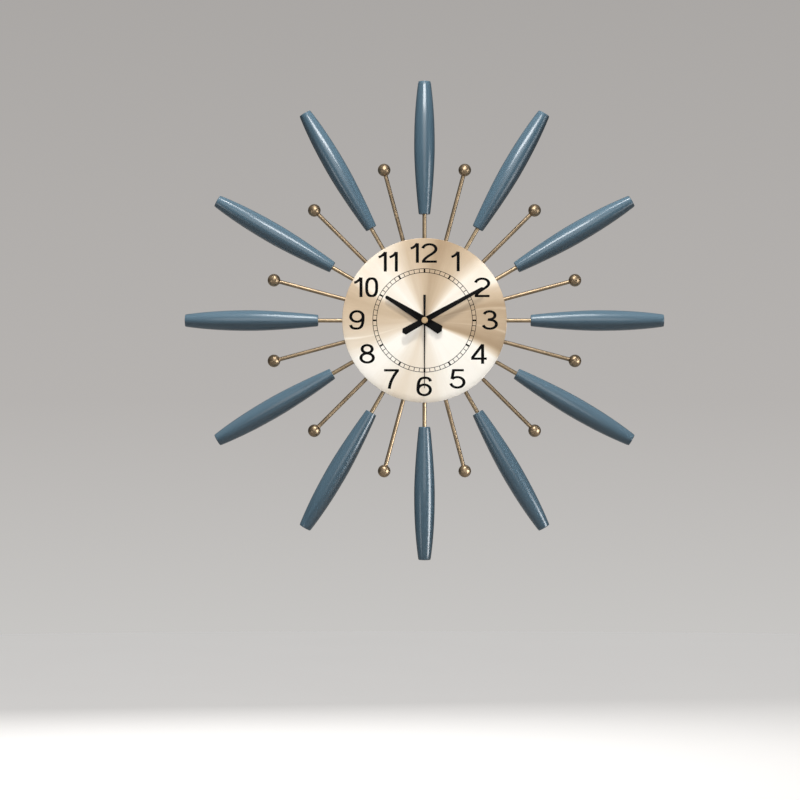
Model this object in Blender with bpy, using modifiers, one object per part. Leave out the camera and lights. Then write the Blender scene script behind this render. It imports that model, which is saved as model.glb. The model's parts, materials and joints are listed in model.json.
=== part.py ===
"""Sunburst wall clock: a battery clock movement behind a round dial, in a burst of rods.

Twenty-four rods stand in a round hub. Twelve carry turned wooden batons and twelve end in balls,
in turn. The dial plate covers the hub's front, and the movement sits in a pocket in its back.

Everything is made in the clock's own face frame and then stood up by one empty. In the face frame
X is to the right, Y is up and Z is the distance out from the wall, as a person facing the clock
sees it. In the world +Z is up, the clock faces -Y and the wall is the plane y = 0. The origin is
on the hands' axis, at the wall.
"""

import math

import bmesh
import bpy
from mathutils import Matrix, Vector

MM = 0.001
GAP = 0.3 * MM  # left between pieces that touch

# Rays
HOUR_MARKS = 12
TIP_RADIUS = 300 * MM  # the clock is 600 mm across
ROD_RADIUS = 2.5 * MM
ROD_SOCKET_RADIUS = 2.85 * MM
SOCKET_SIDES = 8
ROD_FOOT = 60.5 * MM  # where the rods end inside the hub
ROD_SIDES = 12
BATON_LENGTH = 167 * MM
BATON_WIDEST = 12.9 * MM
BATON_OUTER_END = 7.6 * MM
BATON_INNER_END = 7.2 * MM
BATON_INNER_CURVE = (BATON_INNER_END, 1.6)  # a higher power stays full for longer
BATON_OUTER_CURVE = (BATON_OUTER_END, 2.25)
BATON_EDGE = 1.0 * MM
BATON_BORE_DEPTH = 27 * MM
BATON_SIDES = 12
BALL_RADIUS = 8 * MM
BALL_CENTRE = 195 * MM
BALL_SIDES = 12

# Hub
HUB_RADIUS = 85 * MM
HUB_DEPTH = 35 * MM
HUB_EDGE = 1.0 * MM
POCKET_RADIUS = 52 * MM
POCKET_DEPTH = 19 * MM
ROD_DEPTH = (HUB_DEPTH + POCKET_DEPTH) / 2  # the rods' plane, halfway through the web
SOCKET_FOOT = ROD_FOOT - GAP
NUT_RECESS_RADIUS = 11 * MM
NUT_RECESS_FLOOR = 30.8 * MM
HUB_SIDES = 48

# Dial
DIAL_RADIUS = 102.75 * MM
DIAL_BACK = HUB_DEPTH + GAP
DIAL_THICKNESS = 1.0 * MM
DIAL_FRONT = DIAL_BACK + DIAL_THICKNESS
DIAL_LIP = 3.5 * MM
DIAL_EDGE = 1.5 * MM
DIAL_HOLE = 3.2 * MM
DIAL_SIDES = 48

# Movement case, a square box whose back is flush with the hub's
CASE_HALF = 28 * MM
CASE_WALL = 1.2 * MM
CASE_CORNER = 3 * MM
CASE_BACK = 1.5 * MM
CASE_FRONT = 17.5 * MM
CASE_INNER_FRONT = 16.2 * MM
COVER_THICKNESS = 1.2 * MM
BAY_TOP = -12 * MM  # the battery bay is below this height, the gears above
DIVIDER = 1.0 * MM
BUSH_RADIUS = 4 * MM
BUSH_BORE = 2.8 * MM
BUSH_END = 34.3 * MM
BOSS_RADIUS = 1.5 * MM
PIVOT_POCKET = 0.75 * MM
PIVOT_BACK = 1.2 * MM  # arbors run from here
PIVOT_FRONT = 16.3 * MM  # to here
ARBOR_RADIUS = 0.4 * MM

# Tubes and arbor that carry the hands, one inside another
HOUR_BORE, HOUR_TUBE = 1.95 * MM, 2.5 * MM
MINUTE_BORE, MINUTE_TUBE = 0.85 * MM, 1.6 * MM
SECOND_ARBOR = 0.5 * MM
HOUR_TUBE_ENDS = (12.1 * MM, 40.2 * MM)
MINUTE_TUBE_ENDS = (7.8 * MM, 42.9 * MM)
SECOND_ARBOR_END = 46.3 * MM

# Gear train. Teeth are counts, and modules set the centre distances.
ROTOR_TEETH = 6
FIFTH_TEETH, FIFTH_PINION = 36, 6
SECOND_TEETH, SECOND_PINION = 30, 6
THIRD_TEETH, THIRD_PINION = 45, 6
CENTRE_TEETH, CANNON_TEETH = 48, 10
MINUTE_TEETH, MINUTE_PINION = 30, 8
HOUR_TEETH = 32
SET_TEETH = 10
KNOB_TEETH = 14
ROTOR_MODULE = 0.32 * MM
FIFTH_MODULE = 0.52 * MM
KNOB_MODULE = 0.6 * MM
THIRD_DISTANCE = 9.0 * MM
MOTION_DISTANCE = 9.2 * MM
THIRD_MODULE = 2 * THIRD_DISTANCE / (THIRD_TEETH + SECOND_PINION)
CENTRE_MODULE = 2 * THIRD_DISTANCE / (CENTRE_TEETH + THIRD_PINION)
MOTION_MODULE = 2 * MOTION_DISTANCE / (MINUTE_TEETH + CANNON_TEETH)
FIFTH_DISTANCE = FIFTH_MODULE * (SECOND_TEETH + FIFTH_PINION) / 2
ROTOR_DISTANCE = ROTOR_MODULE * (FIFTH_TEETH + ROTOR_TEETH) / 2
THIRD_BEARING = math.radians(150)  # directions from one arbor to the next, seen from the front
FIFTH_BEARING = math.radians(60)
ROTOR_BEARING = math.radians(75)
MINUTE_BEARING = math.radians(0)
SET_BEARING = math.radians(-20)
TOOTH_ADDENDUM = 1.0  # in modules
TOOTH_DEDENDUM = 1.3
TOOTH_TIP = 0.12  # half widths, as shares of the tooth pitch
TOOTH_ROOT = 0.25

# Back and front of each toothed layer. A pinion starts inside the wheel that it is joined to.
ROTOR_LAYER = (2.7 * MM, 3.8 * MM)
FIFTH_LAYER = (2.9 * MM, 3.6 * MM)
FIFTH_PINION_LAYER = (3.3 * MM, 5.6 * MM)
SECOND_LAYER = (4.2 * MM, 5.0 * MM)
SECOND_PINION_LAYER = (4.6 * MM, 7.1 * MM)
THIRD_LAYER = (5.8 * MM, 6.6 * MM)
THIRD_PINION_LAYER = (6.2 * MM, 9.0 * MM)
CENTRE_LAYER = (7.6 * MM, 8.4 * MM)
CANNON_LAYER = (8.0 * MM, 11.4 * MM)
MINUTE_LAYER = (9.9 * MM, 10.9 * MM)
MINUTE_PINION_LAYER = (10.4 * MM, 13.9 * MM)
HOUR_LAYER = (12.4 * MM, 13.4 * MM)
SET_LAYER = (9.6 * MM, 11.2 * MM)
KNOB_LAYER = (0.5 * MM, 2.5 * MM)

# Hands
HOUR_ANGLE = math.radians(301.4)  # clockwise from twelve
MINUTE_ANGLE = math.radians(61.0)
SECOND_ANGLE = math.radians(180.0)
HOUR_PLATE = (38.9 * MM, 39.9 * MM)
MINUTE_PLATE = (41.5 * MM, 42.4 * MM)
SECOND_PLATE = (44.2 * MM, 44.8 * MM)
HOUR_HAND = (57 * MM, 4.2 * MM, 22.8 * MM, 25.3 * MM, 11.6 * MM)  # see hand_outline
MINUTE_HAND = (83.6 * MM, 3.6 * MM, 29 * MM, 31.7 * MM, 8.6 * MM)
SECOND_TIP, SECOND_TAIL = 84.7 * MM, 31.8 * MM
SECOND_WIDTHS = (0.8 * MM, 1.9 * MM, 3.3 * MM)  # at its tip, its axis and its tail
CAP_RADIUS = 4.05 * MM
CAP_BACK = 45.1 * MM
CAP_FRONT = 47.5 * MM

# Coil, stator and board
COIL_HEIGHT = 23.1 * MM
COIL_DEPTH = 8.7 * MM
COIL_HALF = 12.4 * MM
COIL_FLANGE = 3.4 * MM
COIL_WINDING = 2.9 * MM
COIL_BORE = 1.6 * MM
STATOR_BACK, STATOR_FRONT = 8.1 * MM, 9.3 * MM
STATOR_HALF = 16 * MM
STATOR_BOTTOM = 12.6 * MM
STATOR_BULGE = 5 * MM
ROTOR_HOLE = 3.3 * MM
MAGNET_RADIUS = 2.6 * MM
MAGNET_LAYER = (7.4 * MM, 10 * MM)
BOARD_BACK, BOARD_FRONT = 11.6 * MM, 12.6 * MM

# Battery
BATTERY_RADIUS = 7.0 * MM
BATTERY_HALF = 25.25 * MM
BATTERY_HEIGHT = -19.4 * MM
BATTERY_DEPTH = 8.75 * MM

# Hanger, a bent sheet clamped between the movement and the hub
HANGER_SHEET = 0.8 * MM
HANGER_HALF_WIDTH = 8 * MM
HANGER_FOOT = -9 * MM
HANGER_BEND = 29.5 * MM
HANGER_TOP = 44 * MM
HANGER_BACK = 7.4 * MM
EYE_HEIGHT = 36.5 * MM
EYE_RADIUS = 3.5 * MM

SHARP_ANGLE = math.radians(35)
MERGE = 0.00001


def clear_scene():
    for thing in list(bpy.data.objects):
        bpy.data.objects.remove(thing, do_unlink=True)


def make_material(name, colour, roughness, metallic):
    material = bpy.data.materials.new(name)
    material.use_nodes = True
    shader = material.node_tree.nodes["Principled BSDF"]
    shader.inputs["Base Color"].default_value = (*colour, 1.0)
    shader.inputs["Roughness"].default_value = roughness
    shader.inputs["Metallic"].default_value = metallic
    return material


def new_collection(name):
    collection = bpy.data.collections.new(name)
    bpy.context.scene.collection.children.link(collection)
    return collection


# Blanks: loose solids that live in the cutters' collection until they are cut, joined or placed


def blank(mesh):
    """An object around a mesh, for the modelling steps below."""
    thing = bpy.data.objects.new(mesh.name, mesh)
    thing.hide_render = True
    thing.display_type = "WIRE"
    cutters.objects.link(thing)
    return thing


def bake(thing):
    """Applies a blank's modifiers and its place, leaving a plain mesh."""
    bpy.context.view_layer.update()
    evaluated = thing.evaluated_get(bpy.context.evaluated_depsgraph_get())
    mesh = bpy.data.meshes.new_from_object(evaluated)
    mesh.transform(thing.matrix_world)
    bpy.data.objects.remove(thing)
    return blank(mesh)


def combine(body, tool, operation):
    """Joins a tool to a body, or cuts it from it, and removes the tool."""
    modifier = body.modifiers.new(operation.lower(), "BOOLEAN")
    modifier.operation = operation
    modifier.solver = "EXACT"
    modifier.object = tool
    result = bake(body)
    bpy.data.objects.remove(tool)
    return result


def joined(*solids):
    body = solids[0]
    for tool in solids[1:]:
        body = combine(body, tool, "UNION")
    return body


def cut(body, *tools):
    for tool in tools:
        body = combine(body, tool, "DIFFERENCE")
    return body


def turned(profile, sides):
    """A solid of revolution about Z from (radius, height) points, down its outer side.

    A profile that starts and ends on the axis is open, and any other is a closed ring.
    """
    mesh = bpy.data.meshes.new("turned")
    points = [(radius, 0, height) for radius, height in profile]
    edges = [(n, n + 1) for n in range(len(points) - 1)]
    if profile[0][0] > 0:
        edges.append((len(points) - 1, 0))
    mesh.from_pydata(points, edges, [])
    thing = blank(mesh)
    screw = thing.modifiers.new("screw", "SCREW")
    screw.axis = "Z"
    screw.angle = math.tau
    screw.steps = sides
    screw.render_steps = sides
    screw.use_merge_vertices = True
    screw.merge_threshold = MERGE
    return bake(thing)


def rod(radius, low, high, sides=ROD_SIDES, at=(0, 0)):
    """A cylinder along Z between two heights."""
    bpy.ops.mesh.primitive_cylinder_add(
        vertices=sides, radius=radius, depth=high - low, location=(*at, (low + high) / 2)
    )
    return adopted(bpy.context.object)


def box(low, high, corner=0.0):
    """A box between two corners, with its edges along Z rounded."""
    low, high = Vector(low), Vector(high)
    bpy.ops.mesh.primitive_cube_add(size=1, location=(low + high) / 2)
    thing = bpy.context.object
    thing.scale = high - low
    thing = bake(adopted(thing))
    if corner:
        mesh = bmesh.new()
        mesh.from_mesh(thing.data)
        upright = [edge for edge in mesh.edges if stands_upright(edge)]
        bmesh.ops.bevel(mesh, geom=upright, offset=corner, segments=3, profile=0.5, affect="EDGES")
        mesh.to_mesh(thing.data)
        mesh.free()
    return thing


def stands_upright(edge):
    run = edge.verts[1].co - edge.verts[0].co
    return abs(run.z) > 0.9 * run.length


def adopted(thing):
    """Moves a new primitive into the cutters' collection."""
    for collection in thing.users_collection:
        collection.objects.unlink(thing)
    cutters.objects.link(thing)
    thing.hide_render = True
    thing.display_type = "WIRE"
    return thing


def plate(outlines, low, high):
    """A flat sheet between two heights. The first outline is its edge, and the others are holes."""
    curve = bpy.data.curves.new("plate", "CURVE")
    curve.dimensions = "2D"
    curve.fill_mode = "BOTH"
    curve.extrude = (high - low) / 2
    for outline in outlines:
        spline = curve.splines.new("POLY")
        spline.points.add(len(outline) - 1)
        for point, (x, y) in zip(spline.points, outline):
            point.co = (x, y, 0, 1)
        spline.use_cyclic_u = True
    thing = bpy.data.objects.new("plate", curve)
    thing.location.z = (low + high) / 2
    cutters.objects.link(thing)
    return welded(bake(thing))


def welded(thing):
    mesh = bmesh.new()
    mesh.from_mesh(thing.data)
    bmesh.ops.remove_doubles(mesh, verts=mesh.verts, dist=MERGE)
    mesh.to_mesh(thing.data)
    mesh.free()
    return thing


def turned_over(thing, rotation):
    """A blank turned about the origin by X, Y and Z angles in degrees."""
    thing.rotation_euler = [math.radians(angle) for angle in rotation]
    return bake(thing)


def arc(centre, radius, start, end, steps):
    """Points on a circle from one angle to another, in degrees, both ends included."""
    turns = [math.radians(start + (end - start) * n / steps) for n in range(steps + 1)]
    return [(centre[0] + radius * math.cos(t), centre[1] + radius * math.sin(t)) for t in turns]


def circle(centre, radius, steps):
    return arc(centre, radius, 0, 360, steps)[:-1]


def place(name, thing, material, at=(0, 0, 0), turn=(0, 0, 0)):
    """Makes a blank, or another object's mesh, a finished piece of the clock."""
    mesh = thing.data
    if not mesh.materials:
        mesh.name = name
        mesh.materials.append(material)
        mesh.shade_smooth()
        mesh.set_sharp_from_angle(angle=SHARP_ANGLE)
    piece = bpy.data.objects.new(name, mesh)
    piece.parent = clock_face
    piece.location = at
    piece.rotation_euler = turn
    parts.objects.link(piece)
    if thing.name in cutters.objects:
        bpy.data.objects.remove(thing)
    return piece


def ray_turn(number):
    """The rotation that lays a piece's Z along a ray, counted clockwise from twelve."""
    return (-math.pi / 2, 0, -math.tau * number / (2 * HOUR_MARKS))


# Rays


def baton_radius(share):
    """A baton's radius at a share of its length from its inner end."""
    end, power = BATON_INNER_CURVE if share < 0.5 else BATON_OUTER_CURVE
    return BATON_WIDEST - (BATON_WIDEST - end) * abs(2 * share - 1) ** power


def baton_blank():
    """A turned baton along Z, its inner end at 0, with a blind bore for its rod."""
    rings = 7
    sides = [
        (baton_radius(1 - n / rings), BATON_LENGTH * (1 - n / rings)) for n in range(1, rings)
    ]
    profile = [
        (0, BATON_LENGTH),
        (BATON_OUTER_END - BATON_EDGE, BATON_LENGTH),
        (BATON_OUTER_END, BATON_LENGTH - BATON_EDGE),
        *sides,
        (BATON_INNER_END, BATON_EDGE),
        (BATON_INNER_END - BATON_EDGE, 0),
        (ROD_SOCKET_RADIUS, 0),
        (ROD_SOCKET_RADIUS, BATON_BORE_DEPTH),
        (0, BATON_BORE_DEPTH),
    ]
    return turned(profile, BATON_SIDES)


def ball_ray_blank():
    """A ball and the rod that it ends, along Z from the clock's axis."""
    steps = 6
    last = math.pi - math.asin(ROD_RADIUS / BALL_RADIUS)
    turns = [last * n / steps for n in range(steps + 1)]
    ball = [(BALL_RADIUS * math.sin(t), BALL_CENTRE + BALL_RADIUS * math.cos(t)) for t in turns]
    return turned([*ball, (ROD_RADIUS, ROD_FOOT), (0, ROD_FOOT)], BALL_SIDES)


def make_rays():
    baton_foot = TIP_RADIUS - BATON_LENGTH
    rod_end = baton_foot + BATON_BORE_DEPTH - GAP
    plane = (0, 0, ROD_DEPTH)
    baton, baton_rod, ball_ray = baton_blank(), rod(ROD_RADIUS, ROD_FOOT, rod_end), ball_ray_blank()
    baton.data.transform(Matrix.Translation((0, 0, baton_foot)))
    baton_rod = bake(baton_rod)
    for hour in range(1, HOUR_MARKS + 1):
        on_hour, past_hour = ray_turn(2 * hour), ray_turn(2 * hour + 1)
        baton = place(f"baton_{hour:02d}", baton, baton_blue, plane, on_hour)
        baton_rod = place(f"baton_rod_{hour:02d}", baton_rod, brass, plane, on_hour)
        ball_ray = place(f"ball_ray_{hour:02d}", ball_ray, brass, plane, past_hour)


# Hub and dial


def make_hub():
    """A thick disc with a pocket behind, a nut recess in front and a socket for each rod."""
    ring = [
        (HUB_RADIUS - HUB_EDGE, HUB_DEPTH),
        (HUB_RADIUS, HUB_DEPTH - HUB_EDGE),
        (HUB_RADIUS, HUB_EDGE),
        (HUB_RADIUS - HUB_EDGE, 0),
        (POCKET_RADIUS, 0),
        (POCKET_RADIUS, POCKET_DEPTH),
        (BUSH_RADIUS + GAP, POCKET_DEPTH),
        (BUSH_RADIUS + GAP, NUT_RECESS_FLOOR),
        (NUT_RECESS_RADIUS, NUT_RECESS_FLOOR),
        (NUT_RECESS_RADIUS, HUB_DEPTH),
    ]
    hub = turned(ring, HUB_SIDES)
    sockets = bmesh.new()
    length = HUB_RADIUS + HUB_EDGE - SOCKET_FOOT
    for number in range(2 * HOUR_MARKS):
        tilt, _, swing = ray_turn(number)
        turn = Matrix.Rotation(swing, 4, "Z") @ Matrix.Rotation(tilt, 4, "X")
        middle = Matrix.Translation((0, 0, SOCKET_FOOT + length / 2))
        bmesh.ops.create_cone(
            sockets,
            cap_ends=True,
            segments=SOCKET_SIDES,
            radius1=ROD_SOCKET_RADIUS,
            radius2=ROD_SOCKET_RADIUS,
            depth=length,
            matrix=Matrix.Translation((0, 0, ROD_DEPTH)) @ turn @ middle,
        )
    mesh = bpy.data.meshes.new("sockets")
    sockets.to_mesh(mesh)
    sockets.free()
    place("hub_disc", cut(hub, blank(mesh)), hub_black)


def make_dial():
    """A spun plate whose edge turns back over the rods."""
    inner = DIAL_RADIUS - DIAL_THICKNESS
    bend = DIAL_FRONT - DIAL_EDGE
    edge = arc((DIAL_RADIUS - DIAL_EDGE, bend), DIAL_EDGE, 90, 0, 2)
    ring = [
        *edge,
        (DIAL_RADIUS, DIAL_FRONT - DIAL_LIP),
        (inner, DIAL_FRONT - DIAL_LIP),
        (inner, bend),
        (inner - DIAL_EDGE / 3, DIAL_BACK),
        (DIAL_HOLE, DIAL_BACK),
        (DIAL_HOLE, DIAL_FRONT),
    ]
    place("dial_plate", turned(ring, DIAL_SIDES), dial_gold)


# Gear train


def beside(point, distance, bearing):
    return (point[0] + distance * math.cos(bearing), point[1] + distance * math.sin(bearing))


AXIS = (0.0, 0.0)
THIRD_AT = beside(AXIS, THIRD_DISTANCE, THIRD_BEARING)
FIFTH_AT = beside(AXIS, FIFTH_DISTANCE, FIFTH_BEARING)
ROTOR_AT = beside(FIFTH_AT, ROTOR_DISTANCE, ROTOR_BEARING)
MINUTE_AT = beside(AXIS, MOTION_DISTANCE, MINUTE_BEARING)
SET_AT = beside(MINUTE_AT, MOTION_MODULE * (MINUTE_TEETH + SET_TEETH) / 2, SET_BEARING)


def meshed(bearing, teeth, phase, other_teeth):
    """The phase of a gear that puts a gap of it where the first gear has a tooth, and so on."""
    share = (bearing - phase) / (math.tau / teeth)
    return bearing + math.pi - (0.5 - share) * math.tau / other_teeth


CENTRE_PHASE = THIRD_BEARING
THIRD_PINION_PHASE = meshed(THIRD_BEARING, CENTRE_TEETH, CENTRE_PHASE, THIRD_PINION)
SECOND_PINION_PHASE = THIRD_BEARING
THIRD_PHASE = meshed(THIRD_BEARING, SECOND_PINION, SECOND_PINION_PHASE, THIRD_TEETH)
SECOND_PHASE = FIFTH_BEARING
FIFTH_PINION_PHASE = meshed(FIFTH_BEARING, SECOND_TEETH, SECOND_PHASE, FIFTH_PINION)
FIFTH_PHASE = ROTOR_BEARING
ROTOR_PHASE = meshed(ROTOR_BEARING, FIFTH_TEETH, FIFTH_PHASE, ROTOR_TEETH)
CANNON_PHASE = MINUTE_BEARING
MINUTE_PHASE = meshed(MINUTE_BEARING, CANNON_TEETH, CANNON_PHASE, MINUTE_TEETH)
HOUR_PHASE = MINUTE_BEARING
MINUTE_PINION_PHASE = meshed(MINUTE_BEARING, HOUR_TEETH, HOUR_PHASE, MINUTE_PINION)
SET_PHASE = meshed(SET_BEARING, MINUTE_TEETH, MINUTE_PHASE, SET_TEETH)


def gear(teeth, module, phase, low, high):
    """A spur gear along Z, with a tooth centred on its phase angle."""
    pitch = math.tau / teeth
    tip = module * (teeth / 2 + TOOTH_ADDENDUM)
    root = module * (teeth / 2 - TOOTH_DEDENDUM)
    corners = ((-TOOTH_ROOT, root), (-TOOTH_TIP, tip), (TOOTH_TIP, tip), (TOOTH_ROOT, root))
    outline = [
        (radius * math.cos(angle), radius * math.sin(angle))
        for tooth in range(teeth)
        for share, radius in corners
        for angle in [phase + (tooth + share) * pitch]
    ]
    return plate([outline], low, high)


def arbor(low=PIVOT_BACK, high=PIVOT_FRONT):
    return rod(ARBOR_RADIUS, low, high, 8)


def make_gears():
    rotor = joined(
        gear(ROTOR_TEETH, ROTOR_MODULE, ROTOR_PHASE, *ROTOR_LAYER),
        arbor(),
        rod(MAGNET_RADIUS, *MAGNET_LAYER, 16),
    )
    place("stepper_rotor", rotor, steel, (*ROTOR_AT, 0))
    fifth = joined(
        gear(FIFTH_TEETH, ROTOR_MODULE, FIFTH_PHASE, *FIFTH_LAYER),
        gear(FIFTH_PINION, FIFTH_MODULE, FIFTH_PINION_PHASE, *FIFTH_PINION_LAYER),
        arbor(),
    )
    place("fifth_wheel", fifth, gear_white, (*FIFTH_AT, 0))
    second = joined(
        gear(SECOND_TEETH, FIFTH_MODULE, SECOND_PHASE, *SECOND_LAYER),
        gear(SECOND_PINION, THIRD_MODULE, SECOND_PINION_PHASE, *SECOND_PINION_LAYER),
        rod(SECOND_ARBOR, PIVOT_BACK, SECOND_ARBOR_END, 8),
    )
    place("second_wheel", second, gear_white)
    third = joined(
        gear(THIRD_TEETH, THIRD_MODULE, THIRD_PHASE, *THIRD_LAYER),
        gear(THIRD_PINION, CENTRE_MODULE, THIRD_PINION_PHASE, *THIRD_PINION_LAYER),
        arbor(),
    )
    place("third_wheel", third, gear_white, (*THIRD_AT, 0))
    back, front = MINUTE_TUBE_ENDS
    centre = joined(
        gear(CENTRE_TEETH, CENTRE_MODULE, CENTRE_PHASE, *CENTRE_LAYER),
        gear(CANNON_TEETH, MOTION_MODULE, CANNON_PHASE, *CANNON_LAYER),
        rod(MINUTE_TUBE, back, front, 16),
    )
    centre = cut(centre, rod(MINUTE_BORE, back - MM, front + MM, 12))
    place("centre_wheel", centre, gear_white)
    minute = joined(
        gear(MINUTE_TEETH, MOTION_MODULE, MINUTE_PHASE, *MINUTE_LAYER),
        gear(MINUTE_PINION, MOTION_MODULE, MINUTE_PINION_PHASE, *MINUTE_PINION_LAYER),
        arbor(),
    )
    place("minute_wheel", minute, gear_white, (*MINUTE_AT, 0))
    back, front = HOUR_TUBE_ENDS
    hour = joined(
        gear(HOUR_TEETH, MOTION_MODULE, HOUR_PHASE, *HOUR_LAYER),
        rod(HOUR_TUBE, back, front, 16),
    )
    hour = cut(hour, rod(HOUR_BORE, back - MM, front + MM, 16))
    place("hour_wheel", hour, gear_white)
    knob = joined(
        gear(KNOB_TEETH, KNOB_MODULE, 0, *KNOB_LAYER),
        rod(1.0 * MM, KNOB_LAYER[1] - 0.5 * MM, SET_LAYER[1] + 0.8 * MM, 12),
        gear(SET_TEETH, MOTION_MODULE, SET_PHASE, *SET_LAYER),
        arbor(SET_LAYER[1]),
    )
    place("set_knob", knob, case_black, (*SET_AT, 0))


# Movement case


def make_case():
    """An open box with a threaded bush in front, a battery bay below and bearings for the arbors."""
    inner = CASE_HALF - CASE_WALL
    back = CASE_BACK - MM
    case = box(
        (-CASE_HALF, -CASE_HALF, CASE_BACK), (CASE_HALF, CASE_HALF, CASE_FRONT), CASE_CORNER
    )
    case = cut(
        case,
        box((-inner, BAY_TOP + DIVIDER, back), (inner, inner, CASE_INNER_FRONT)),
        box((-inner, -inner, back), (inner, BAY_TOP, CASE_INNER_FRONT)),
    )
    middle = (CASE_INNER_FRONT + CASE_FRONT) / 2
    posts = [
        rod(1.3 * MM, foot, middle, 8, at)
        for at, foot in (
            ((-15 * MM, 16 * MM), STATOR_FRONT + GAP),
            ((15 * MM, 16 * MM), STATOR_FRONT + GAP),
            ((-23.5 * MM, -7 * MM), BOARD_FRONT + GAP),
            ((-23.5 * MM, 9 * MM), BOARD_FRONT + GAP),
        )
    ]
    bearings = (THIRD_AT, FIFTH_AT, ROTOR_AT, MINUTE_AT, SET_AT)
    bosses = [rod(BOSS_RADIUS, 14.6 * MM, middle, 10, at) for at in bearings]
    pockets = [rod(PIVOT_POCKET, 14 * MM, PIVOT_FRONT + GAP, 8, at) for at in bearings]
    case = joined(case, rod(BUSH_RADIUS, middle, BUSH_END, 24), *posts, *bosses)
    case = cut(case, rod(BUSH_BORE, CASE_INNER_FRONT - MM, BUSH_END + MM, 16), *pockets)
    place("movement_case", case, case_black)


def make_cover():
    """A plate behind the gears, with bearings and a sunk well for the time-setting knob."""
    well_radius, well_floor = 5.1 * MM, 2.9 * MM
    cover = box(
        (-CASE_HALF, BAY_TOP + 0.4 * MM, 0), (CASE_HALF, CASE_HALF, COVER_THICKNESS), CASE_CORNER
    )
    bearings = (AXIS, THIRD_AT, FIFTH_AT, ROTOR_AT, MINUTE_AT)
    bosses = [rod(BOSS_RADIUS, COVER_THICKNESS / 2, 2.4 * MM, 10, at) for at in bearings]
    pockets = [rod(PIVOT_POCKET, PIVOT_BACK - GAP, 3 * MM, 8, at) for at in bearings]
    cup = rod(well_radius + 0.8 * MM, COVER_THICKNESS / 2, 4.2 * MM, 20, SET_AT)
    well = rod(well_radius, -MM, well_floor, 20, SET_AT)
    hole = rod(1.3 * MM, 2 * MM, 5 * MM, 12, SET_AT)
    place("movement_cover", cut(joined(cover, cup, *bosses), well, hole, *pockets), case_black)


def make_electrics():
    """The coil on its stator, the circuit board, and the battery between its contact springs."""
    spool = turned(
        [
            (COIL_FLANGE, COIL_HALF),
            (COIL_FLANGE, COIL_HALF - MM),
            (COIL_WINDING, COIL_HALF - MM),
            (COIL_WINDING, MM - COIL_HALF),
            (COIL_FLANGE, MM - COIL_HALF),
            (COIL_FLANGE, -COIL_HALF),
            (COIL_BORE, -COIL_HALF),
            (COIL_BORE, COIL_HALF),
        ],
        16,
    )
    spool = turned_over(spool, (0, 90, 0))
    place("drive_coil", spool, copper, (0, COIL_HEIGHT, COIL_DEPTH))

    top, window = COIL_HEIGHT + MM, ROTOR_AT[1] + ROTOR_HOLE + 1.3 * MM
    reach = math.degrees(math.asin((ROTOR_AT[1] - STATOR_BOTTOM) / STATOR_BULGE))
    edge = [
        (-STATOR_HALF, top),
        (-STATOR_HALF, STATOR_BOTTOM),
        *arc(ROTOR_AT, STATOR_BULGE, 180 + reach, 360 - reach, 6),
        (STATOR_HALF, STATOR_BOTTOM),
        (STATOR_HALF, top),
    ]
    leg = STATOR_HALF - 3 * MM
    opening = [(-leg, window), (leg, window), (leg, top - 2 * MM), (-leg, top - 2 * MM)]
    hole = circle(ROTOR_AT, ROTOR_HOLE, 16)
    place("stator", plate([edge, opening, hole], STATOR_BACK, STATOR_FRONT), steel)

    board = joined(
        box((-26.2 * MM, -9.5 * MM, BOARD_BACK), (-10.2 * MM, 11.5 * MM, BOARD_FRONT)),
        box((-22 * MM, -2 * MM, 10.2 * MM), (-16 * MM, 4 * MM, BOARD_BACK + 0.3 * MM), MM),
        box((-24 * MM, 7 * MM, 9.9 * MM), (-17 * MM, 9 * MM, BOARD_BACK + 0.3 * MM), 0.6 * MM),
    )
    place("circuit_board", board, board_green)

    cell = turned(
        [
            (0, BATTERY_HALF),
            (2.7 * MM, BATTERY_HALF),
            (2.7 * MM, BATTERY_HALF - 1.4 * MM),
            (BATTERY_RADIUS - 0.6 * MM, BATTERY_HALF - 1.4 * MM),
            (BATTERY_RADIUS, BATTERY_HALF - 2.0 * MM),
            (BATTERY_RADIUS, 0.6 * MM - BATTERY_HALF),
            (BATTERY_RADIUS - 0.6 * MM, -BATTERY_HALF),
            (0, -BATTERY_HALF),
        ],
        20,
    )
    cell = turned_over(cell, (0, 90, 0))
    place("battery", cell, battery_shell, (0, BATTERY_HEIGHT, BATTERY_DEPTH))

    for side, name in ((-1, "contact_spring_negative"), (1, "contact_spring_positive")):
        leaf = plate([contact_outline()], -4 * MM, 4 * MM)
        leaf = turned_over(leaf, (90, 0, 0 if side < 0 else 180))
        place(name, leaf, steel, (side * 26.4 * MM, BATTERY_HEIGHT, 0))


def contact_outline():
    """A bowed leaf of even thickness, whose back is at x = 0 and which bows towards +X."""
    half = 0.2 * MM
    bow = 0.7 * MM
    middle = [
        (0, 3.0 * MM),
        (0, 5.0 * MM),
        (bow, BATTERY_DEPTH - MM),
        (bow, BATTERY_DEPTH + MM),
        (0, 12.5 * MM),
        (0, 14.5 * MM),
    ]
    return [(x + half, y) for x, y in middle] + [(x - half, y) for x, y in reversed(middle)]


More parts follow.
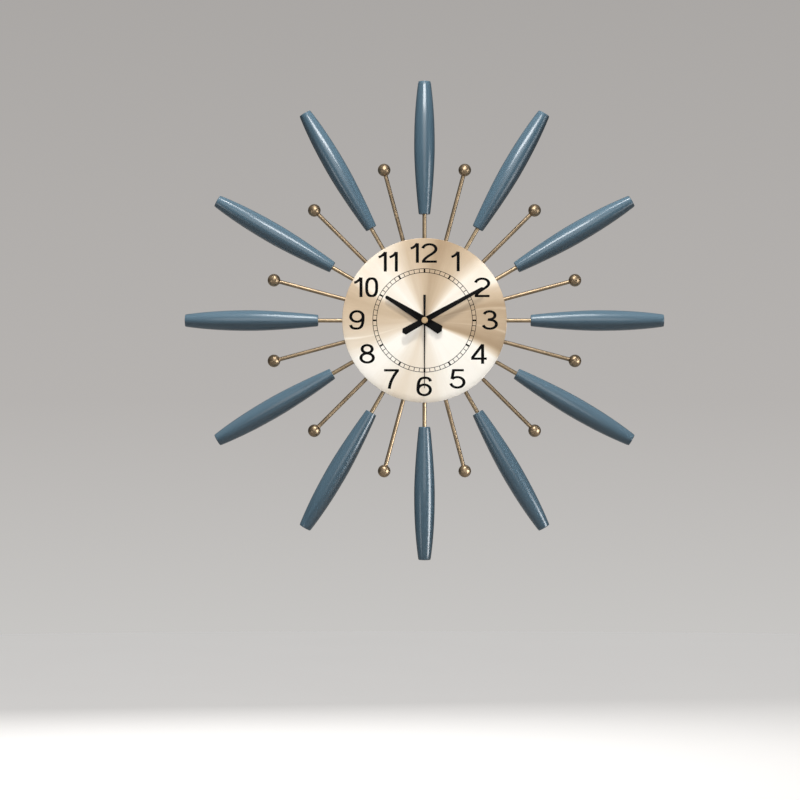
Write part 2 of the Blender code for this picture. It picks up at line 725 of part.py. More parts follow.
def make_fasteners():
    """The nut that clamps the movement to the hub, and the sheet hanger that it clamps too."""
    recess = NUT_RECESS_FLOOR + GAP
    nut = rod(6.35 * MM, recess, recess + 2.5 * MM, 6)
    nut = cut(nut, rod(BUSH_RADIUS + GAP, recess - MM, HUB_DEPTH, 24))
    place("hex_nut", nut, brass)

    front = POCKET_DEPTH - GAP
    back = front - HANGER_SHEET
    sheet = [
        (HANGER_FOOT, back),
        (HANGER_BEND, back),
        (HANGER_BEND, HANGER_BACK),
        (HANGER_TOP, HANGER_BACK),
        (HANGER_TOP, HANGER_BACK + HANGER_SHEET),
        (HANGER_BEND + HANGER_SHEET, HANGER_BACK + HANGER_SHEET),
        (HANGER_BEND + HANGER_SHEET, front),
        (HANGER_FOOT, front),
    ]
    bent = plate([sheet], -HANGER_HALF_WIDTH - MM, HANGER_HALF_WIDTH + MM)
    bent = turned_over(bent, (90, 0, 90))
    half = HANGER_HALF_WIDTH
    face = [
        *arc((0, HANGER_TOP - half), half, 0, 180, 8),
        *arc((0, HANGER_FOOT + half), half, 180, 360, 8),
    ]
    holes = [
        circle((0, EYE_HEIGHT), EYE_RADIUS, 12),
        circle(AXIS, BUSH_RADIUS + GAP, 20),
    ]
    outline = plate([face, *holes], 0, HUB_DEPTH)
    place("hanger", combine(bent, outline, "INTERSECT"), steel)


# Hands. Each is drawn pointing to twelve and then turned to its place.


def hand_outline(tip, tip_width, tail, tail_point, tail_width):
    """A straight taper with a round tip and a tail that ends in a blunt point."""
    half, wide = tip_width / 2, tail_width / 2
    return [
        *arc((0, tip - half), half, 0, 180, 6),
        (-wide, -tail),
        (0, -tail_point),
        (wide, -tail),
    ]


def hand(outline, sheet, boss_radius, boss_back, bore):
    blade = plate([outline], *sheet)
    blade = joined(blade, rod(boss_radius, boss_back, sheet[1] - 0.2 * MM, 16))
    return cut(blade, rod(bore, boss_back - MM, sheet[1] + MM, 16))


def make_hands():
    hour = hand_outline(*HOUR_HAND)
    hour = hand(hour, HOUR_PLATE, 4.4 * MM, 37.5 * MM, HOUR_TUBE + GAP)
    place("hour_hand", hour, hand_black, turn=(0, 0, -HOUR_ANGLE))
    minute = hand_outline(*MINUTE_HAND)
    minute = hand(minute, MINUTE_PLATE, 3.2 * MM, 40.6 * MM, MINUTE_TUBE + GAP)
    place("minute_hand", minute, hand_black, turn=(0, 0, -MINUTE_ANGLE))
    tip, tail = SECOND_TIP, -SECOND_TAIL
    thin, waist, wide = (width / 2 for width in SECOND_WIDTHS)
    needle = [(thin, tip), (-thin, tip), (-waist, 0), (-wide, tail), (wide, tail), (waist, 0)]
    second = hand(needle, SECOND_PLATE, 2.2 * MM, 43.3 * MM, SECOND_ARBOR + GAP)
    place("second_hand", second, hand_black, turn=(0, 0, -SECOND_ANGLE))
    bore = SECOND_ARBOR + GAP
    cap = turned(
        [
            (0, CAP_FRONT),
            (CAP_RADIUS - 0.7 * MM, CAP_FRONT),
            (CAP_RADIUS, CAP_FRONT - 0.7 * MM),
            (CAP_RADIUS, CAP_BACK),
            (bore, CAP_BACK),
            (bore, SECOND_ARBOR_END + GAP),
            (0, SECOND_ARBOR_END + GAP),
        ],
        20,
    )
    place("centre_cap", cap, brass)


clear_scene()
parts = new_collection("sunburst_wall_clock")
cutters = new_collection("cutters")
clock_face = bpy.data.objects.new("clock_face", None)
clock_face.rotation_euler = (math.pi / 2, 0, 0)
parts.objects.link(clock_face)

baton_blue = make_material("baton_blue", (0.10, 0.17, 0.22), 0.35, 0.0)
brass = make_material("brass", (0.50, 0.36, 0.19), 0.35, 1.0)
dial_gold = make_material("dial_gold", (0.80, 0.70, 0.56), 0.3, 1.0)
hub_black = make_material("hub_black", (0.03, 0.03, 0.03), 0.6, 0.0)
hand_black = make_material("hand_black", (0.01, 0.01, 0.01), 0.5, 0.0)
case_black = make_material("case_black", (0.02, 0.02, 0.02), 0.5, 0.0)
gear_white = make_material("gear_white", (0.80, 0.78, 0.70), 0.45, 0.0)
steel = make_material("steel", (0.55, 0.55, 0.56), 0.35, 1.0)
copper = make_material("copper", (0.72, 0.33, 0.18), 0.35, 1.0)
board_green = make_material("board_green", (0.04, 0.20, 0.09), 0.45, 0.0)
battery_shell = make_material("battery_shell", (0.35, 0.36, 0.38), 0.3, 0.6)

make_rays()
make_hub()
make_dial()
make_gears()
make_case()
make_cover()
make_electrics()
make_fasteners()
make_hands()
bpy.context.view_layer.update()
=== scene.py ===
"""Sunburst wall clock: fine surfaces, materials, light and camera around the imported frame.

Pieces are drawn in the clock's face frame (X right, Y up, Z out from the wall) and stood up by
STAND, or drawn along Z and laid on a ray. Sizes and places come from the frame's own boxes.
"""

import json
import math

import bmesh
import bpy
from mathutils import Matrix, Vector


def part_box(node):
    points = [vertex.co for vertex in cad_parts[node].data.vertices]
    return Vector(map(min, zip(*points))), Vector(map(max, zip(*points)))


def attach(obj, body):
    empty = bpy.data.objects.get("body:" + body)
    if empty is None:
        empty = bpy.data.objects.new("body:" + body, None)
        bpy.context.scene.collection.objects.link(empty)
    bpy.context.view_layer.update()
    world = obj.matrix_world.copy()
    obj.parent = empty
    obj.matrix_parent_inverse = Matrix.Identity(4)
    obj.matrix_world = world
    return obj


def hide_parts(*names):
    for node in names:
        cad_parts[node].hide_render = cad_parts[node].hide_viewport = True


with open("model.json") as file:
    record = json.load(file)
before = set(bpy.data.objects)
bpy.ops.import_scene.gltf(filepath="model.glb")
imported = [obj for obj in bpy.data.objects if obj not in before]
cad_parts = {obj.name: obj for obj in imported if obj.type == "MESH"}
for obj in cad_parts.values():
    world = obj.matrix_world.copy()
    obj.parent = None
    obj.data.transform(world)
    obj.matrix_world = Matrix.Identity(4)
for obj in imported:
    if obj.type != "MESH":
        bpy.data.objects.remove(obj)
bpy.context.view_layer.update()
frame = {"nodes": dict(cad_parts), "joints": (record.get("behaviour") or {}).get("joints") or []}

MM = 0.001
STAND = Matrix.Rotation(math.pi / 2, 4, "X")
HOURS = range(1, 13)
FIXED = "clock_body"
STEEP = math.radians(32)


# Measures read from the frame


def front(node):
    """How far a node's front stands out from the wall."""
    return -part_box(node)[0].y


def back(node):
    """How far a node's back stands out from the wall."""
    return -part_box(node)[1].y


def height(node):
    """A node's size up and down."""
    low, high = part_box(node)
    return high.z - low.z


ROD_PLANE = -(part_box("baton_12")[0].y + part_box("baton_12")[1].y) / 2
BATON_FOOT, BATON_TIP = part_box("baton_12")[0].z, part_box("baton_12")[1].z
BATON_LENGTH = BATON_TIP - BATON_FOOT
ROD_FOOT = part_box("baton_rod_12")[0].z
ROD_RADIUS = (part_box("baton_rod_12")[1].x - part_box("baton_rod_12")[0].x) / 2
DIAL_RADIUS = height("dial_plate") / 2
DIAL_FRONT = front("dial_plate")
DIAL_LIP = front("dial_plate") - back("dial_plate")
HUB_RADIUS = height("hub_disc") / 2
HUB_FRONT = front("hub_disc")


# Meshes


def mesh_from(points, faces, name):
    """A mesh from points and the indices of each face."""
    mesh = bpy.data.meshes.new(name)
    mesh.from_pydata([tuple(point) for point in points], [], faces)
    mesh.validate()
    return mesh


def smoothed(mesh):
    """Shades a mesh smooth, but for its steep edges."""
    mesh.shade_smooth()
    mesh.set_sharp_from_angle(angle=STEEP)
    return mesh


def turned(profile, sides, name):
    """A closed solid of revolution about Z, from (radius, height) points down its outer side."""
    points, rings = [], []
    for radius, level in profile:
        if radius < 1e-7:
            rings.append([len(points)])
            points.append((0, 0, level))
            continue
        rings.append(list(range(len(points), len(points) + sides)))
        for side in range(sides):
            turn = math.tau * side / sides
            points.append((radius * math.cos(turn), radius * math.sin(turn), level))
    pairs = list(zip(rings, rings[1:]))
    if len(rings[0]) > 1:
        pairs.append((rings[-1], rings[0]))
    faces = []
    for upper, lower in pairs:
        for side in range(sides):
            after = (side + 1) % sides
            if len(upper) == 1:
                faces.append((upper[0], lower[side], lower[after]))
            elif len(lower) == 1:
                faces.append((upper[side], lower[0], upper[after]))
            else:
                faces.append((upper[side], lower[side], lower[after], upper[after]))
    return mesh_from(points, faces, name)


def arc(centre, radius, start, end, steps):
    """Points on a circle or ellipse between two angles in degrees, both included."""
    wide, tall = radius if isinstance(radius, tuple) else (radius, radius)
    turns = [math.radians(start + (end - start) * n / steps) for n in range(steps + 1)]
    return [(centre[0] + wide * math.cos(t), centre[1] + tall * math.sin(t)) for t in turns]


def ring_of(centre, radius, steps):
    """A closed circle or ellipse."""
    return arc(centre, radius, 0, 360, steps)[:-1]


def plate(outlines, low, high, name):
    """A flat sheet between two heights. The first outline is its edge, and the rest are holes."""
    curve = bpy.data.curves.new(name, "CURVE")
    curve.dimensions = "2D"
    curve.fill_mode = "BOTH"
    curve.extrude = (high - low) / 2
    for outline in outlines:
        spline = curve.splines.new("POLY")
        spline.points.add(len(outline) - 1)
        for point, (x, y) in zip(spline.points, outline):
            point.co = (x, y, 0, 1)
        spline.use_cyclic_u = True
    thing = bpy.data.objects.new(name, curve)
    thing.location.z = (low + high) / 2
    return baked(thing, name)


def baked(thing, name):
    """A plain mesh of an object's modifiers and place. The object is removed."""
    if thing.name not in bpy.context.scene.collection.objects:
        bpy.context.scene.collection.objects.link(thing)
    bpy.context.view_layer.update()
    evaluated = thing.evaluated_get(bpy.context.evaluated_depsgraph_get())
    mesh = bpy.data.meshes.new_from_object(evaluated)
    mesh.transform(thing.matrix_world)
    mesh.name = name
    bpy.data.objects.remove(thing)
    work = bmesh.new()
    work.from_mesh(mesh)
    bmesh.ops.remove_doubles(work, verts=work.verts, dist=1e-6)
    bmesh.ops.dissolve_limit(
        work, angle_limit=math.radians(0.5), verts=work.verts, edges=work.edges
    )
    work.to_mesh(mesh)
    work.free()
    return mesh


def merged(meshes, name, operation="UNION"):
    """One mesh from several closed ones, by exact booleans."""
    body = bpy.data.objects.new(name, meshes[0])
    tools = []
    for mesh in meshes[1:]:
        tool = bpy.data.objects.new("tool", mesh)
        bpy.context.scene.collection.objects.link(tool)
        modifier = body.modifiers.new("boolean", "BOOLEAN")
        modifier.operation = operation
        modifier.solver = "EXACT"
        modifier.object = tool
        tools.append(tool)
    mesh = baked(body, name)
    for tool in tools:
        bpy.data.objects.remove(tool)
    return mesh


def bevelled(mesh, width, segments=2):
    """Rounds a mesh's edges that turn by more than 40 degrees."""
    thing = bpy.data.objects.new(mesh.name, mesh)
    bevel = thing.modifiers.new("bevel", "BEVEL")
    bevel.width = width
    bevel.segments = segments
    bevel.limit_method = "ANGLE"
    bevel.angle_limit = math.radians(40)
    return baked(thing, mesh.name)


def show(name, mesh, material, body, matrix=STAND, replaces=()):
    """A finished piece that rides on a body and may stand for CAD nodes."""
    piece = bpy.data.objects.new(name, mesh)
    bpy.context.scene.collection.objects.link(piece)
    piece.matrix_world = matrix
    if material and not mesh.materials:
        mesh.materials.append(material)
    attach(piece, body)
    if replaces:
        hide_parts(*replaces)
    return piece


def on_ray(number):
    """The matrix that lays Z along a ray in the rods' plane. Ray 0 points to twelve."""
    swing = Matrix.Rotation(-math.tau * number / 24, 4, "Z")
    return STAND @ Matrix.Translation((0, 0, ROD_PLANE)) @ swing @ Matrix.Rotation(
        -math.pi / 2, 4, "X"
    )


# Materials


class Tree:
    """A node tree, with short ways to add and link nodes."""

    def __init__(self, tree):
        self.tree = tree

    def node(self, kind, inputs=None, **settings):
        made = self.tree.nodes.new(kind)
        for key, value in settings.items():
            setattr(made, key, value)
        for key, value in (inputs or {}).items():
            self.feed(made.inputs[key], value)
        return made

    def feed(self, socket, value):
        if isinstance(value, bpy.types.NodeSocket):
            self.tree.links.new(value, socket)
        else:
            socket.default_value = value

    def maths(self, operation, a, b=0.0, c=None, clamp=False):
        inputs = {0: a, 1: b} if c is None else {0: a, 1: b, 2: c}
        return self.node("ShaderNodeMath", inputs, operation=operation, use_clamp=clamp).outputs[0]

    def place(self, kind="Object"):
        return self.node("ShaderNodeTexCoord").outputs[kind]

    def own(self):
        """A number that differs from piece to piece, to keep their grain apart."""
        return self.maths("MULTIPLY", self.node("ShaderNodeObjectInfo").outputs["Random"], 40.0)

    def stretched(self, vector, scale):
        return self.node("ShaderNodeMapping", {"Vector": vector, "Scale": scale}).outputs[0]

    def noise(self, vector, scale=5.0, detail=2.0, roughness=0.5, w=None):
        inputs = {"Vector": vector, "Scale": scale, "Detail": detail, "Roughness": roughness}
        if w is not None:
            inputs["W"] = w
        kind = "3D" if w is None else "4D"
        return self.node("ShaderNodeTexNoise", inputs, noise_dimensions=kind).outputs[0]

    def ramp(self, factor, stops, interpolation="LINEAR"):
        made = self.node("ShaderNodeValToRGB", {0: factor})
        made.color_ramp.interpolation = interpolation
        elements = made.color_ramp.elements
        while len(elements) < len(stops):
            elements.new(0.5)
        for element, (at, colour) in zip(elements, stops):
            element.position = at
            element.color = (*colour, 1) if isinstance(colour, tuple) else (colour,) * 3 + (1,)
        return made.outputs[0]

    def between(self, factor, low, high):
        """A factor from 0 to 1 spread over a range of numbers."""
        return self.node(
            "ShaderNodeMapRange", {"Value": factor, "To Min": low, "To Max": high}
        ).outputs[0]

    def mixed(self, factor, a, b, blend="MIX"):
        """Two colours joined by a blend mode, in a share that the factor sets."""
        made = self.node("ShaderNodeMix", data_type="RGBA", blend_type=blend)
        for key, value in ((0, factor), (6, a), (7, b)):
            if isinstance(value, tuple):
                value = (*value, 1)
            self.feed(made.inputs[key], value)
        return made.outputs[2]


class Nodes(Tree):
    """The node tree of a new material, with its Principled shader."""

    def __init__(self, name, colour=(0.8, 0.8, 0.8), roughness=0.5, metallic=0.0, **sockets):
        self.material = bpy.data.materials.new(name)
        self.material.use_nodes = True
        super().__init__(self.material.node_tree)
        self.shader = self.tree.nodes["Principled BSDF"]
        self.shader.inputs["Base Color"].default_value = (*colour, 1)
        self.shader.inputs["Roughness"].default_value = roughness
        self.shader.inputs["Metallic"].default_value = metallic
        for socket, value in sockets.items():
            title = socket.replace("_", " ").title().replace("Ior", "IOR")
            self.shader.inputs[title].default_value = value

    def colour(self, socket):
        self.feed(self.shader.inputs["Base Color"], socket)

    def rough(self, socket):
        self.feed(self.shader.inputs["Roughness"], socket)

    def bump(self, level, strength, distance):
        made = self.node(
            "ShaderNodeBump", {"Height": level, "Strength": strength, "Distance": distance}
        )
        self.feed(self.shader.inputs["Normal"], made.outputs[0])


def lacquer():
    """Slate-blue satin lacquer over turned wood, whose long grain shows a little."""
    n = Nodes(
        "lacquer", roughness=0.38, specular_ior_level=0.32, coat_weight=0.95, coat_roughness=0.18
    )
    own = n.own()
    grain = n.noise(n.stretched(n.place(), (170, 170, 6)), 1.0, 2.0, 0.5, own)
    broad = n.noise(n.stretched(n.place(), (45, 45, 14)), 1.0, 2.0, 0.5, own)
    body = n.mixed(broad, (0.050, 0.097, 0.135), (0.063, 0.116, 0.159))
    body = n.mixed(n.ramp(grain, [(0.30, 0.0), (0.44, 1.0)]), (0.043, 0.084, 0.118), body)
    n.colour(body)
    n.rough(n.between(grain, 0.35, 0.39))
    n.bump(n.noise(n.stretched(n.place(), (60, 60, 5)), 1.0, 0.0, 0.5, own), 0.01, 0.0002)
    return n.material


def antique_brass(name, colour, roughness=(0.33, 0.40), along=(90, 90, 6)):
    """Satin brass, drawn lengthwise and a little toned."""
    n = Nodes(name, metallic=1.0)
    own = n.own()
    drawn = n.noise(n.stretched(n.place(), along), 1.0, 3.0, 0.6, own)
    tone = n.noise(n.place(), 55.0, 4.0, 0.6, own)
    dark = tuple(0.78 * c for c in colour)
    light = tuple(1.12 * c for c in colour)
    n.colour(n.mixed(n.ramp(tone, [(0.32, 0.0), (0.62, 1.0)]), dark, light))
    n.rough(n.between(drawn, *roughness))
    return n.material


# Painted highlight and shade of the sunray finish: how bright its painted wedges of reflection are
# at bearings clockwise from twelve, from 0 to 1
PAINTED_WEDGES = (
    (0, 0.42), (12, 0.17), (25, 0.32), (38, 0.50), (47, 0.90), (62, 0.90), (66, 0.50),
    (75, 0.28), (79, 0.10), (84, 0.18), (97, 0.19), (112, 0.04), (119, 0.96), (135, 1.0),
    (158, 1.0), (174, 0.82), (200, 0.70), (218, 0.90), (228, 1.0), (241, 1.0), (252, 0.68),
    (268, 0.42), (288, 0.26), (297, 0.42), (302, 0.86), (322, 0.93), (336, 0.82), (348, 0.50),
    (360, 0.42),
)
PAINTED_STREAKS = (82, 98, 257)  # bearings of the thin painted highlight lines
PAINTED_STREAK_HALF = 0.9  # half their width in degrees


def brushed_dial():
    """Champagne sunray: brush marks run out from the centre, and the bright and dark wedges that
    they break the light into are painted into its colour as painted highlight and shade.
    """
    n = Nodes("brushed_dial", metallic=0.55, anisotropic=0.6)
    x, y, _ = n.node("ShaderNodeSeparateXYZ", {0: n.place()}).outputs
    flat = n.node("ShaderNodeCombineXYZ", {0: x, 1: y}).outputs[0]
    length = n.node("ShaderNodeVectorMath", {0: flat}, operation="LENGTH").outputs["Value"]
    out = n.maths("DIVIDE", length, DIAL_RADIUS)
    # The bearing as a share of a turn, bowed a little so that the painted wedges' edges aren't
    # straight
    bow = n.maths("MULTIPLY", n.maths("MULTIPLY", out, n.maths("SUBTRACT", 1.0, out)), 0.04)
    share = n.maths("DIVIDE", n.maths("ARCTAN2", x, y), math.tau)
    share = n.maths("FRACT", n.maths("ADD", n.maths("ADD", share, bow), 1.0))
    # Brush marks: noise that hardly changes on the way out
    unit_x, unit_y = n.maths("DIVIDE", x, length), n.maths("DIVIDE", y, length)
    way = n.node("ShaderNodeCombineXYZ", {0: unit_x, 1: unit_y, 2: out}).outputs[0]
    fine = n.noise(n.stretched(way, (1, 1, 0.12)), 95.0, 3.0, 0.6)
    broad = n.noise(n.stretched(way, (1, 1, 0.2)), 9.0, 2.0, 0.5)
    # Painted reflection: bright and dark wedges put into the colour by bearing
    painted_sheen = n.ramp(share, [(at / 360, level) for at, level in PAINTED_WEDGES])
    # Painted highlight: thin bright lines at a few bearings, stronger towards the rim
    lines = [(0.0, 0.0)]
    for at in PAINTED_STREAKS:
        for off, bright in ((-PAINTED_STREAK_HALF, 0.0), (0.0, 1.0), (PAINTED_STREAK_HALF, 0.0)):
            lines.append(((at + off) / 360, bright))
    painted_streak = n.maths("MULTIPLY", n.ramp(share, lines), n.maths("MULTIPLY", out, 0.42))
    level = n.maths("ADD", painted_sheen, n.between(fine, -0.05, 0.05))
    level = n.maths("ADD", level, n.between(broad, -0.08, 0.08))
    level = n.maths("ADD", level, painted_streak)
    # Painted shade: the upper half grows darker towards its edge, against the lamps' glare there
    shade = n.maths("MULTIPLY", n.maths("DIVIDE", n.maths("MAXIMUM", y, 0.0), DIAL_RADIUS), out)
    level = n.maths("MULTIPLY_ADD", shade, -0.20, level, clamp=True)
    gold = [
        (0.0, (0.38, 0.27, 0.165)), (0.35, (0.575, 0.45, 0.315)), (0.7, (0.78, 0.68, 0.55)),
        (1.0, (0.955, 0.915, 0.84)),
    ]
    n.colour(n.ramp(level, gold))
    n.rough(n.between(fine, 0.27, 0.31))
    tangent = n.node("ShaderNodeTangent", direction_type="RADIAL", axis="Z")
    n.feed(n.shader.inputs["Tangent"], tangent.outputs[0])
    n.bump(fine, 0.03, 0.0001)
    return n.material


def matte_black(name, shade, roughness, grain, strength, specular=0.5, uneven=0.07):
    """A black finish with a fine even texture."""
    n = Nodes(name, (shade,) * 3, roughness, specular_ior_level=specular)
    speck = n.noise(n.place(), grain, 2.0, 0.5)
    cloud = n.noise(n.place(), 40.0, 3.0, 0.5)
    low, high = (0.7 * shade,) * 3, (1.4 * shade,) * 3
    n.colour(n.mixed(n.ramp(cloud, [(0.35, 0.0), (0.65, 1.0)]), low, high))
    n.rough(n.between(speck, roughness - uneven, roughness + uneven))
    n.bump(speck, strength, 0.0002)
    return n.material


def bright_steel():
    """Rolled steel with faint lengthwise lines."""
    n = Nodes("bright_steel", (0.56, 0.56, 0.57), metallic=1.0)
    lines = n.noise(n.stretched(n.place(), (2600, 900, 120)), 1.0, 3.0, 0.6)
    cloud = n.noise(n.place(), 90.0, 3.0, 0.5)
    n.colour(n.mixed(cloud, (0.46, 0.46, 0.47), (0.64, 0.64, 0.65)))
    n.rough(n.between(lines, 0.26, 0.42))
    n.bump(lines, 0.05, 0.00005)
    return n.material


def moulded_white():
    """Acetal of the wheels: off-white and a little waxy."""
    n = Nodes("moulded_white", roughness=0.35, subsurface_weight=0.15, subsurface_scale=0.001)
    cloud = n.noise(n.place(), 220.0, 3.0, 0.5)
    n.colour(n.mixed(cloud, (0.74, 0.73, 0.69), (0.86, 0.85, 0.82)))
    n.rough(n.between(n.noise(n.place(), 2400.0, 2.0), 0.28, 0.42))
    return n.material


def nut_brass():
    """Plain turned brass, brighter than the rods."""
    n = Nodes("nut_brass", metallic=1.0)
    turned_marks = n.noise(n.stretched(n.place(), (300, 4000, 300)), 1.0, 3.0, 0.6)
    n.colour(n.mixed(n.noise(n.place(), 160.0, 3.0), (0.60, 0.43, 0.20), (0.78, 0.58, 0.30)))
    n.rough(n.between(turned_marks, 0.22, 0.36))
    n.bump(turned_marks, 0.06, 0.00005)
    return n.material


def coil_copper():
    """Enamelled wire between the spool's two black flanges."""
    half_winding, wire_pitch = 11.35 * MM, 0.22 * MM
    n = Nodes("coil_copper")
    along, _, _ = n.node("ShaderNodeSeparateXYZ", {0: n.place()}).outputs
    wound = n.maths("LESS_THAN", n.maths("ABSOLUTE", along), half_winding)
    wire = n.maths("SINE", n.maths("MULTIPLY", along, math.tau / wire_pitch))
    tone = n.mixed(n.noise(n.place(), 500.0, 3.0), (0.50, 0.20, 0.075), (0.72, 0.33, 0.14))
    n.colour(n.mixed(wound, (0.02, 0.02, 0.02), tone))
    n.feed(n.shader.inputs["Metallic"], wound)
    n.rough(n.between(n.noise(n.place(), 900.0, 2.0), 0.26, 0.40))
    n.bump(n.maths("MULTIPLY", wire, wound), 0.5, 0.00006)
    return n.material


def circuit_green():
    """Solder mask with paler copper tracks under it, and black parts on the board."""
    parts_behind = -11.5 * MM
    pitch_across, pitch_upward = 2.6 * MM, 3.4 * MM
    n = Nodes("circuit_green", roughness=0.3)
    x, y, z = n.node("ShaderNodeSeparateXYZ", {0: n.place()}).outputs
    part = n.maths("GREATER_THAN", y, parts_behind)
    across = n.maths("SINE", n.maths("MULTIPLY", n.maths("ADD", x, z), math.tau / pitch_across))
    upward = n.maths("SINE", n.maths("MULTIPLY", z, math.tau / pitch_upward))
    tracks = n.maths("GREATER_THAN", n.maths("MULTIPLY", across, upward), 0.35)
    mask = n.mixed(n.noise(n.place(), 300.0, 3.0), (0.010, 0.085, 0.035), (0.018, 0.12, 0.05))
    mask = n.mixed(tracks, mask, (0.045, 0.20, 0.075))
    n.colour(n.mixed(part, mask, (0.018, 0.018, 0.019)))
    n.rough(n.between(n.noise(n.place(), 1500.0, 2.0), 0.25, 0.45))
    n.bump(tracks, 0.15, 0.00004)
    return n.material


def battery_film(length):
    """A sleeve without print: steel ends, a grey body, a pale line and a dark band."""
    n = Nodes("battery_film", metallic=0.65)
    _, _, along = n.node("ShaderNodeSeparateXYZ", {0: n.place()}).outputs
    share = n.maths("MULTIPLY_ADD", along, 1 / length, 0.5)
    steel, grey, dark = (0.62, 0.62, 0.61), (0.34, 0.36, 0.38), (0.018, 0.035, 0.055)
    bands = [
        (0.0, steel), (0.018, grey), (0.63, (0.80, 0.80, 0.79)), (0.645, dark), (0.952, steel),
    ]
    wrap = n.ramp(share, bands, "CONSTANT")
    n.colour(n.mixed(n.noise(n.place(), 120.0, 3.0), wrap, n.mixed(0.15, wrap, (1, 1, 1))))
    n.rough(n.between(n.noise(n.stretched(n.place(), (900, 900, 90)), 1.0, 3.0), 0.24, 0.36))
    return n.material


lacquer_blue = lacquer()
rod_brass = antique_brass("rod_brass", (0.43, 0.325, 0.205))
ball_brass = antique_brass("ball_brass", (0.37, 0.275, 0.175), (0.34, 0.42), (90, 90, 90))
cap_brass = antique_brass("cap_brass", (0.56, 0.40, 0.23), (0.32, 0.42), (300, 300, 300))
dial_gold = brushed_dial()
ink = matte_black("ink", 0.003, 0.5, 900.0, 0.04, specular=0.05)
hand_black = matte_black("hand_black", 0.004, 0.45, 1800.0, 0.06, specular=0.08)
hub_paint = matte_black("hub_paint", 0.030, 0.45, 650.0, 0.55, uneven=0.14)
case_plastic = matte_black("case_plastic", 0.022, 0.40, 2200.0, 0.30, uneven=0.10)
steel = bright_steel()


# Batons, rods and balls

BATON_WIDEST = 12.9 * MM
BATON_INNER = (7.2 * MM, 1.6)  # the end's radius, and how full its curve is
BATON_OUTER = (7.6 * MM, 2.25)
BATON_SOCKET = 12 * MM  # depth of the hole for the rod
SOCKET_RADIUS = 2.85 * MM
SOCKET_GAP = 1 * MM  # left beyond the rod's end
BALL_CENTRE = 195 * MM  # from the clock's axis


def baton_radius(share):
    """The baton's radius at a share of its length, counted from the foot."""
    end, power = BATON_INNER if share < 0.5 else BATON_OUTER
    return BATON_WIDEST - (BATON_WIDEST - end) * abs(2 * share - 1) ** power


def baton_mesh():
    """A turned baton with a slightly domed tip and a hole for its rod."""
    edge, dome, mouth, steps = 0.9 * MM, 0.5 * MM, 0.3 * MM, 60
    outer, inner = BATON_OUTER[0], BATON_INNER[0]
    shares = [1 - n / steps for n in range(steps + 1)]
    body = [
        (baton_radius(s), BATON_FOOT + BATON_LENGTH * s)
        for s in shares
        if edge < BATON_LENGTH * s < BATON_LENGTH - edge - dome
    ]
    shoulder = BATON_TIP - dome - edge
    crown = [
        (0, BATON_TIP),
        *[((outer - edge) * r, BATON_TIP - dome * r * r) for r in (0.25, 0.5, 0.75)],
    ]
    profile = [
        *crown,
        *arc((outer - edge, shoulder), edge, 90, 0, 6),
        *body,
        *arc((inner - edge, BATON_FOOT + edge), edge, 0, -90, 6),
        (SOCKET_RADIUS + mouth, BATON_FOOT),
        (SOCKET_RADIUS, BATON_FOOT + mouth),
        (SOCKET_RADIUS, BATON_FOOT + BATON_SOCKET),
        (0, BATON_FOOT + BATON_SOCKET),
    ]
    return smoothed(turned(profile, 72, "baton"))


def rod_mesh(top):
    """A plain rod from the hub's socket up to a height along its ray."""
    profile = [(0, top), (ROD_RADIUS, top), (ROD_RADIUS, ROD_FOOT), (0, ROD_FOOT)]
    return smoothed(turned(profile, 40, "rod"))


def ball_mesh():
    """A ball on its rod, with a small solder fillet where they meet."""
    low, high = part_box("ball_ray_01")
    radius = (high.y - low.y) / 2
    fillet, steps = 1.0 * MM, 5
    beside, apart = ROD_RADIUS + fillet, radius + fillet
    foot = BALL_CENTRE - math.sqrt(apart**2 - beside**2)
    start = math.degrees(math.asin(beside / apart))
    ball = arc((0, BALL_CENTRE), radius, 90, start - 90, 44)
    turns = [math.radians(start + (90 - start) * n / steps) for n in range(1, steps + 1)]
    blend = [(beside - fillet * math.sin(t), foot + fillet * math.cos(t)) for t in turns]
    profile = [*ball, *blend, (ROD_RADIUS, ROD_FOOT), (0, ROD_FOOT)]
    return smoothed(turned(profile, 48, "ball"))


baton, ball = baton_mesh(), ball_mesh()
baton_rod = rod_mesh(BATON_FOOT + BATON_SOCKET - SOCKET_GAP)
for hour in HOURS:
    on_hour, after_hour = on_ray(2 * hour), on_ray(2 * hour + 1)
    for kind, mesh, material, matrix, node, slot in (
        ("wood_baton", baton, lacquer_blue, on_hour, "baton", "baton_blue"),
        ("brass_rod", baton_rod, rod_brass, on_hour, "baton_rod", "brass"),
        ("brass_ball", ball, ball_brass, after_hour, "ball_ray", "brass"),
    ):
        tag = f"{hour:02d}"
        show(f"{kind}_{tag}", mesh, material, FIXED, matrix, [f"{node}_{tag}"])


# Dial

DIAL_SHEET = 1.0 * MM
DIAL_HOLE = 3.2 * MM


def dial_mesh():
    """A flat sheet with a turned-back lip. Rings on its face keep the faces small."""
    bend, mouth, steps = 0.3 * MM, 0.2 * MM, 12
    inner = DIAL_RADIUS - DIAL_SHEET
    level = DIAL_FRONT - bend
    behind = DIAL_FRONT - DIAL_SHEET
    flat = DIAL_RADIUS - bend - DIAL_HOLE
    rings = [DIAL_HOLE + mouth + flat * n / steps for n in range(1, steps)]
    profile = [
        *arc((DIAL_RADIUS - bend, level), bend, 90, 0, 8),
        (DIAL_RADIUS, DIAL_FRONT - DIAL_LIP),
        (inner, DIAL_FRONT - DIAL_LIP),
        (inner, behind),
        (DIAL_HOLE, behind),
        (DIAL_HOLE, DIAL_FRONT - mouth),
        (DIAL_HOLE + mouth, DIAL_FRONT),
        *[(r, DIAL_FRONT) for r in rings],
    ]
    return smoothed(turned(profile, 256, "dial"))


